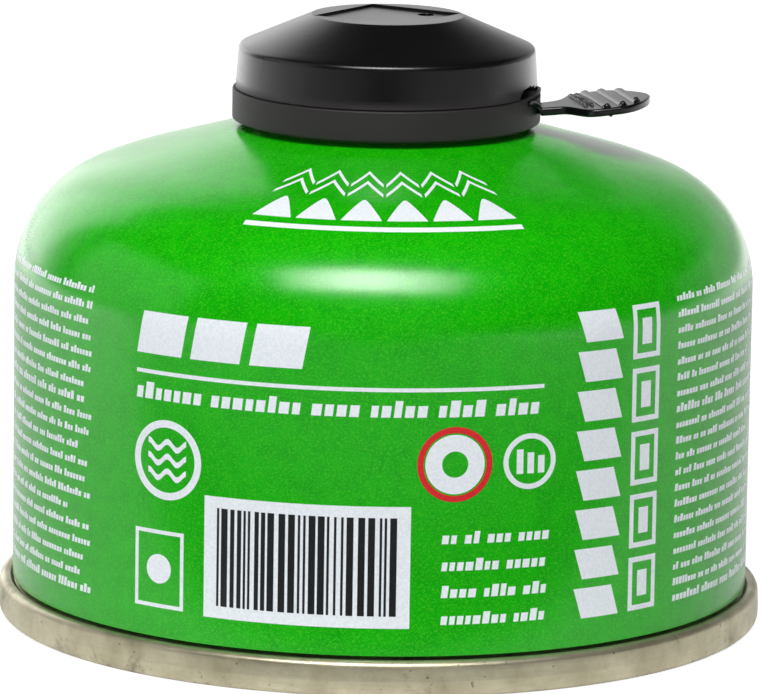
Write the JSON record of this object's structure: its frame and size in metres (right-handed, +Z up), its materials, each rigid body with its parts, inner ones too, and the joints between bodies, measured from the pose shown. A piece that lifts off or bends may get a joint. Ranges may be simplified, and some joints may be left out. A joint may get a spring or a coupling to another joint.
{
  "type": "screw-valve gas canister",
  "caption": "Squat round steel fuel gas canister with a rolled base seam and a black push-on cap over its threaded valve neck; the cap has a tear band and a ribbed pull tab.",
  "frame": {"origin": "centre of the base, on the surface the canister stands on", "axes": "+Z up along the can's axis, +X towards the cap's pull tab, -Y towards the printed front"},
  "size_m": [0.09, 0.09, 0.0711],
  "materials": {
    "green_paint": "satin lacquer",
    "tinplate": "bare drawn tinplate",
    "cup_tinplate": "bright tinplate",
    "seal_rubber": "matte",
    "black_plastic": "satin moulded"
  },
  "bodies": {
    "root": {"can_body": "green_paint", "base_end": "tinplate", "valve_cup": "cup_tinplate", "cup_gasket": "seal_rubber", "neck_seal": "seal_rubber", "cap": "black_plastic"}
  },
  "joints": []
}
